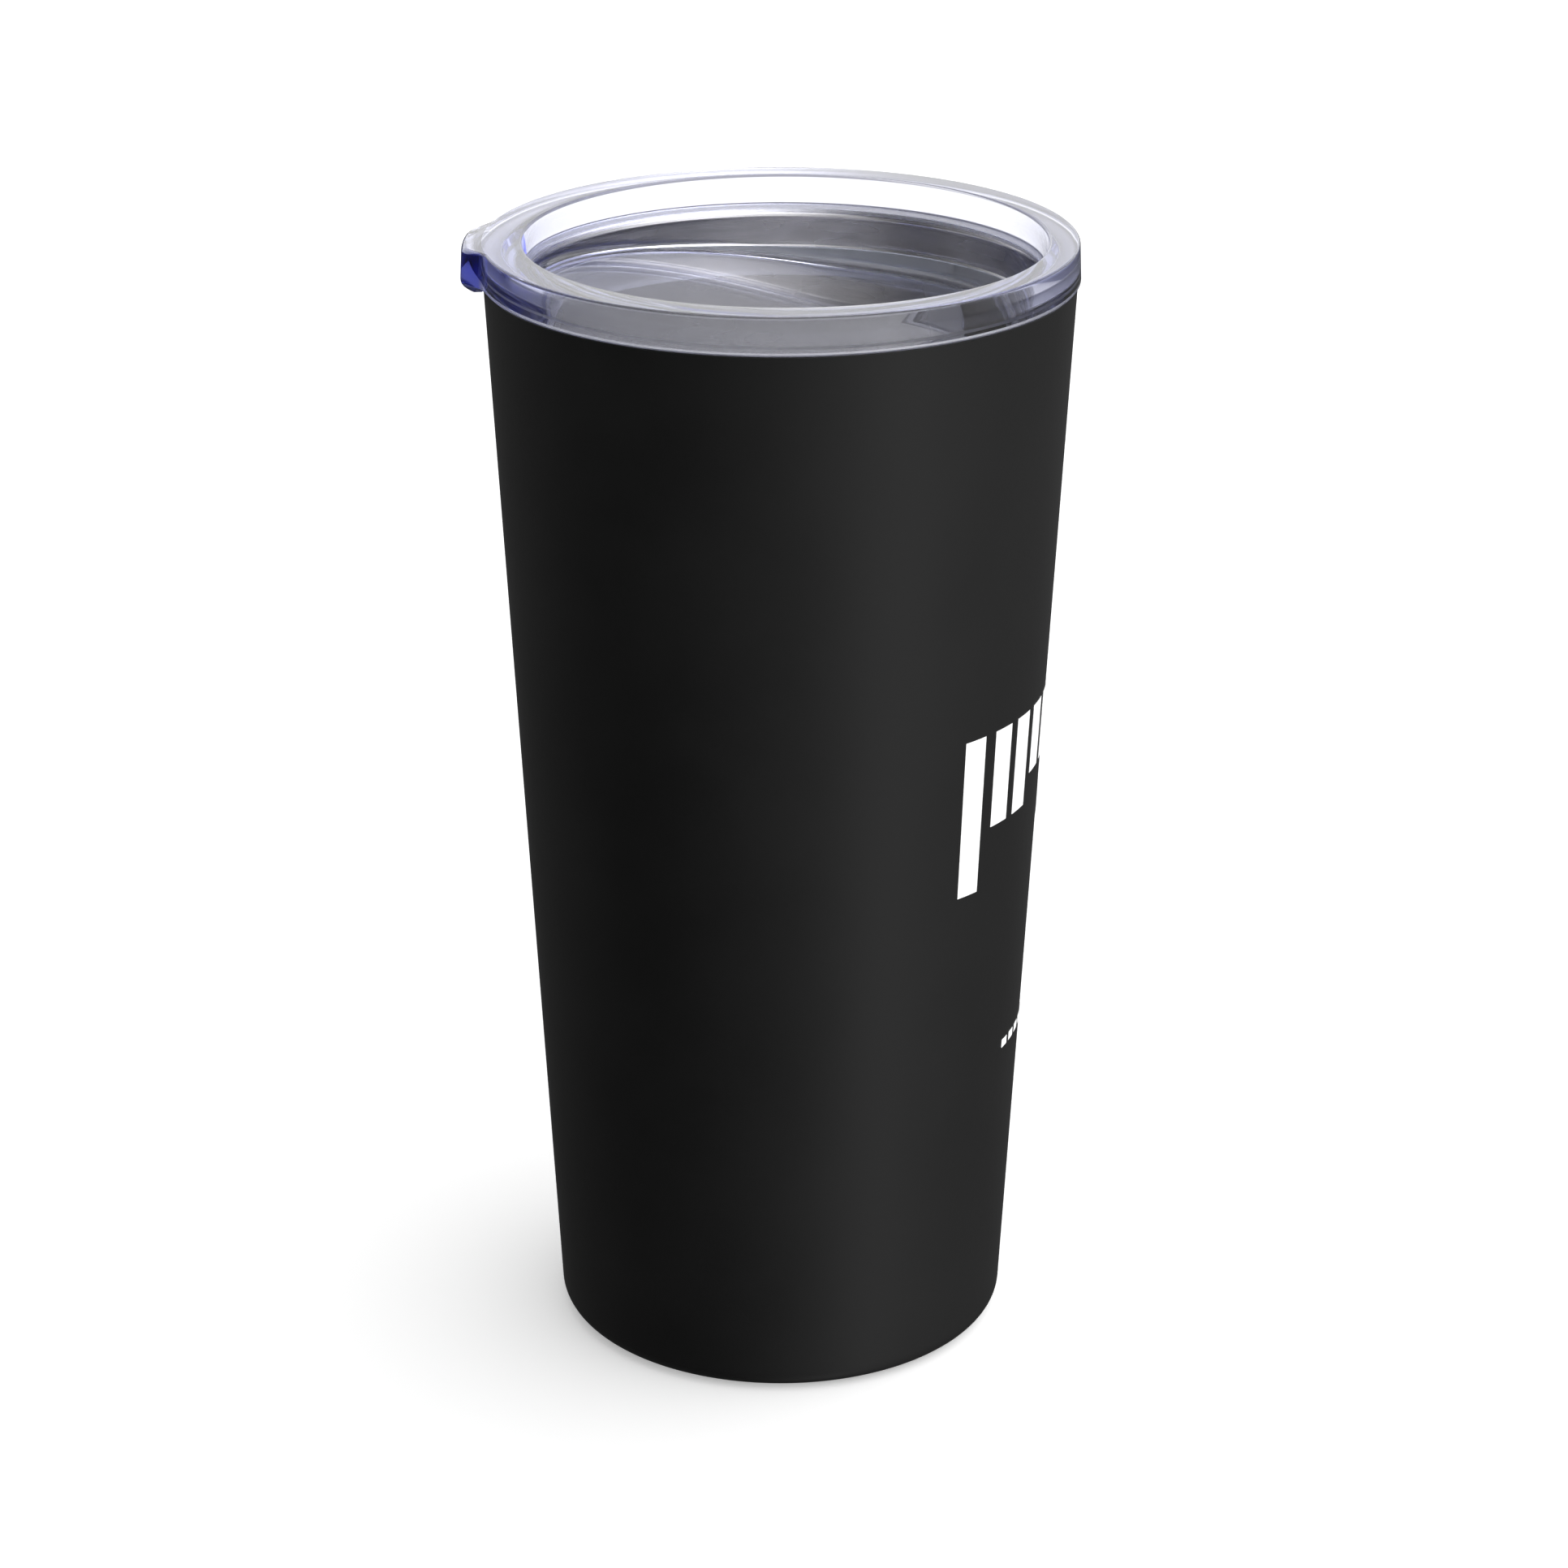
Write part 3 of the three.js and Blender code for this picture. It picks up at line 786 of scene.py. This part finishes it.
def build_object():
    liner_steel = steel_material("liner_brushed_steel", LINER_MOUTH_Z - 0.6)
    base_steel = steel_material("base_spun_steel")
    attach(build_shell(), "cup", "black_coat", "outer_shell")
    attach(build_liner(liner_steel), "cup", "liner_steel", "inner_liner")
    attach(build_cover(base_steel), "cup", "base_steel", "base_cover")
    attach(build_lid(), "lid", "clear_lid", "lid_body")
    attach(build_gasket(), "seal", "silicone", "lid_gasket")
    attach(build_print(), "cup", "print_white")
    nodes = frame["nodes"]
    assign(nodes["outer_base"], base_steel)
    assign(nodes["getter_strap"], base_steel)
    assign(nodes["copper_foil"], hidden_material("copper_foil", (0.80, 0.42, 0.26), 1.0, 0.30, 90.0))
    assign(nodes["getter_pill"], hidden_material("sintered_getter", (0.12, 0.12, 0.13), 0.3, 0.80, 1500.0))
    assign(nodes["seal_bead"], hidden_material("solder_glass", (0.30, 0.38, 0.32), 0.0, 0.20, 400.0))


# ---------------------------------------------------------------- floor, light and camera

CAMERA_LENS = 95.6
CAMERA_SENSOR = 36.0
CAMERA_PITCH = 21.85
CAMERA_DISTANCE = 0.6466
CAMERA_AIM_Z = 0.08734
CAMERA_SHIFT_X = 0.00222


def build_floor():
    """Pale floor just under the base, hidden from reflections and from light through the lid."""
    half = 4.0
    mesh = bpy.data.meshes.new("floor")
    mesh.from_pydata([(-half, -half, 0), (half, -half, 0), (half, half, 0), (-half, half, 0)], [], [(0, 1, 2, 3)])
    floor = bpy.data.objects.new("floor", mesh)
    bpy.context.scene.collection.objects.link(floor)
    floor.location.z = -0.0002
    n = Nodes("pale_floor")
    n.set(Base_Color=(0.88, 0.88, 0.88, 1), Roughness=0.9, Emission_Color=(1, 1, 1, 1), Emission_Strength=0.35)
    n.shader.inputs["Specular IOR Level"].default_value = 0.1
    assign(floor, n.material)
    floor.visible_glossy = False
    floor.visible_transmission = False


# Brightness of the studio all round, as (degrees to the right of the camera's side, level): what glossy
# surfaces mirror and what shines through the clear lid, each low down and higher up.
MIRRORED_LOW = [
    (-180, 0.09), (-140, 0.08), (-120, 0.10), (-95, 0.095), (-66, 0.075), (-45, 0.11), (-20, 0.20), (0, 0.28),
    (25, 0.46), (44, 0.92), (54, 0.92), (64, 0.60), (81, 0.47), (110, 0.27), (136, 0.14), (180, 0.09),
]
MIRRORED_HIGH = [
    (-180, 1.7), (-130, 1.7), (-100, 0.3), (-60, 0.12), (-30, 0.3), (0, 0.6), (30, 1.2),
    (60, 1.2), (85, 0.6), (110, 0.6), (135, 1.7), (180, 1.7),
]
THROUGH_LOW = [
    (-180, 2.1), (-112, 2.1), (-96, 1.6), (-84, 1.0), (-66, 0.3), (-45, 0.10), (-20, 0.25), (0, 0.35),
    (25, 0.42), (44, 0.90), (54, 0.95), (62, 0.95), (84, 1.3), (96, 1.7), (112, 2.1), (180, 2.1),
]
THROUGH_LEVEL = [
    (-180, 0.10), (-150, 0.6), (-90, 0.9), (-50, 0.6), (-30, 0.15), (0, 0.30), (30, 0.5), (50, 0.8),
    (90, 0.9), (150, 0.6), (180, 0.10),
]
THROUGH_HIGH = [
    (-180, 1.1), (-130, 1.1), (-100, 0.3), (-60, 0.12), (-30, 0.6), (0, 1.3), (30, 2.0),
    (60, 1.6), (85, 0.9), (115, 0.5), (135, 0.8), (180, 1.1),
]
TOP_MIRRORED = 2.0
THROUGH_TOP = [
    (-180, 1.2), (-150, 0.2), (-125, 0.05), (-50, 0.05), (-15, 2.2), (20, 4.2), (100, 4.6), (150, 2.6), (180, 1.2),
]
FLOOR_MIRRORED = 0.72  # how much of MIRRORED_LOW is left straight below the object
SOFT_LEFT = 0.1  # light on matt surfaces, from the left and from the right
SOFT_RIGHT = 2.0


def build_world():
    """White studio: bright behind and above, dim where the camera stands. Only what the object reflects
    and passes on shows it; the background itself is plain white."""
    world = bpy.data.worlds.new("studio")
    bpy.context.scene.world = world
    world.use_nodes = True
    tree = world.node_tree
    background = tree.nodes["Background"]
    background.inputs["Color"].default_value = (1, 1, 1, 1)

    def add(kind, values=(), **settings):
        node = tree.nodes.new(kind)
        for key, value in settings.items():
            setattr(node, key, value)
        for key, value in values:
            if isinstance(value, bpy.types.NodeSocket):
                tree.links.new(value, node.inputs[key])
            else:
                node.inputs[key].default_value = value
        return node

    direction = add("ShaderNodeTexCoord").outputs["Generated"]
    x, y, z = add("ShaderNodeSeparateXYZ", [(0, direction)]).outputs
    forward = add("ShaderNodeMath", [(0, y), (1, -1.0)], operation="MULTIPLY").outputs[0]
    turn = add("ShaderNodeMath", [(0, x), (1, forward)], operation="ARCTAN2").outputs[0]
    place = add("ShaderNodeMapRange", [("Value", turn), ("From Min", -math.pi), ("From Max", math.pi)]).outputs[0]

    def band(levels):
        """Brightness all round, through (angle, brightness) stops."""
        brightest = max(brightness for angle, brightness in levels)
        ramp = add("ShaderNodeValToRGB", [("Fac", place)])
        ramp.color_ramp.interpolation = "EASE"
        stops = ramp.color_ramp.elements
        while len(stops) > 1:
            stops.remove(stops[-1])
        for index, (angle, brightness) in enumerate(levels):
            position = (angle + 180) / 360
            stop = stops[0] if index == 0 else stops.new(position)
            stop.position = position
            grey = brightness / brightest
            stop.color = (grey, grey, grey, 1)
        return add("ShaderNodeMath", [(0, ramp.outputs[0]), (1, brightest)], operation="MULTIPLY").outputs[0]

    def blend(factor, first, second):
        return add("ShaderNodeMix", [(0, factor), (2, first), (3, second)], data_type="FLOAT").outputs[0]

    def rise(start, end, value=z, low=0.0, high=1.0):
        limits = [("Value", value), ("From Min", start), ("From Max", end), ("To Min", low), ("To Max", high)]
        return add("ShaderNodeMapRange", limits).outputs[0]

    overhead = rise(0.45, 0.75)
    falling = [(0, band(MIRRORED_LOW)), (1, rise(-0.52, -0.38, low=FLOOR_MIRRORED))]
    below = add("ShaderNodeMath", falling, operation="MULTIPLY").outputs[0]
    mirrored = blend(rise(-0.03, 0.06), below, band(MIRRORED_HIGH))
    mirrored = blend(overhead, mirrored, TOP_MIRRORED)
    through = blend(rise(-0.17, -0.10), band(THROUGH_LOW), band(THROUGH_LEVEL))
    through = blend(rise(0.08, 0.16), through, band(THROUGH_HIGH))
    through = blend(overhead, through, band(THROUGH_TOP))
    ray = add("ShaderNodeLightPath").outputs
    strength = blend(ray["Is Glossy Ray"], rise(-0.7, 0.7, x, SOFT_LEFT, SOFT_RIGHT), mirrored)
    strength = blend(ray["Is Transmission Ray"], strength, through)
    strength = blend(ray["Is Camera Ray"], strength, 1.0)
    tree.links.new(strength, background.inputs["Strength"])


def build_studio():
    """Floor and surround. The clear flange traps light, so it gets more bounces than usual."""
    build_floor()
    build_world()
    cycles = bpy.context.scene.cycles
    cycles.max_bounces = 24
    cycles.glossy_bounces = 16
    cycles.transmission_bounces = 20
    view = bpy.context.scene.view_settings
    view.view_transform = "Standard"
    view.look = "None"


def build_camera():
    camera = bpy.data.cameras.new("camera")
    camera.lens = CAMERA_LENS
    camera.sensor_width = CAMERA_SENSOR
    camera.shift_x = CAMERA_SHIFT_X
    camera.clip_start = 0.01
    obj = bpy.data.objects.new("camera", camera)
    bpy.context.scene.collection.objects.link(obj)
    pitch = CAMERA_PITCH * DEG
    obj.location = (
        0,
        -CAMERA_DISTANCE * math.cos(pitch),
        CAMERA_AIM_Z + CAMERA_DISTANCE * math.sin(pitch),
    )
    obj.rotation_euler = (math.pi / 2 - pitch, 0, 0)
    bpy.context.scene.camera = obj


build_camera()
build_object()
build_studio()
